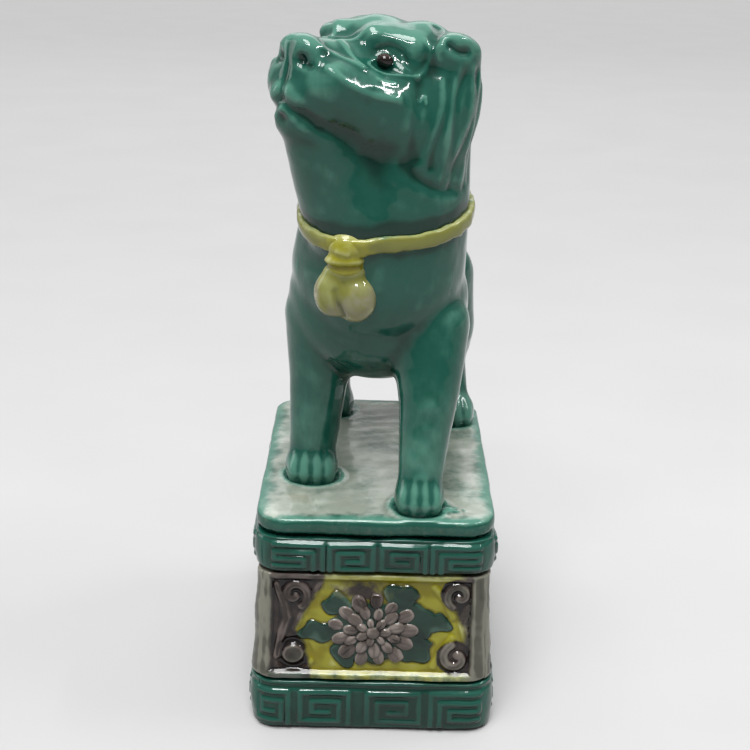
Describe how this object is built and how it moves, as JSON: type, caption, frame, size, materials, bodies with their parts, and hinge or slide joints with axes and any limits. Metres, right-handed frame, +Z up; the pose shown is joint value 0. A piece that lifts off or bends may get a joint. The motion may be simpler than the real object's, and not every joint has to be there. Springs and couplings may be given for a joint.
{
  "type": "foo dog statue",
  "caption": "Glazed ceramic foo dog standing on a tall rectangular plinth, head turned and raised, with a collar and bell",
  "frame": {"origin": "middle of the plinth's underside, on the surface it stands on, z = 0", "axes": "+X to the dog's own left, -Y the way the dog's body faces (the front of the plinth), +Z up"},
  "size_m": [0.064, 0.0896, 0.1788],
  "materials": {
    "green_glaze": "glossy translucent copper-green glaze, pooled darker in hollows",
    "pale_glaze": "thin grey-white glaze with green runs, worn satin",
    "yellow_glaze": "glossy straw-yellow glaze",
    "olive_glaze": "glossy olive-yellow glaze with green run into it",
    "panel_glaze": "aubergine, yellow, cream and green glazes laid side by side",
    "petal_glaze": "thin aubergine-pink glaze over raised petals",
    "black_glaze": "gloss brown-black glaze"
  },
  "bodies": {
    "root": {"torso_left": "green_glaze", "torso_right": "green_glaze", "head": "green_glaze", "foreleg_left": "green_glaze", "foreleg_right": "green_glaze", "hindleg_left": "green_glaze", "hindleg_right": "green_glaze", "ear_left": "green_glaze", "ear_right": "green_glaze", "tail": "green_glaze", "lower_band_front": "green_glaze", "lower_band_back": "green_glaze", "lower_band_left": "green_glaze", "lower_band_right": "green_glaze", "upper_band_front": "green_glaze", "upper_band_back": "green_glaze", "upper_band_left": "green_glaze", "upper_band_right": "green_glaze", "wall_front": "panel_glaze", "wall_back": "panel_glaze", "wall_left": "panel_glaze", "wall_right": "panel_glaze", "flower_front": "petal_glaze", "flower_back": "petal_glaze", "flower_left": "petal_glaze", "flower_right": "petal_glaze", "eye_left": "black_glaze", "eye_right": "black_glaze", "deck": "pale_glaze", "collar": "olive_glaze", "bell_knot": "yellow_glaze", "bell": "olive_glaze"}
  },
  "joints": []
}
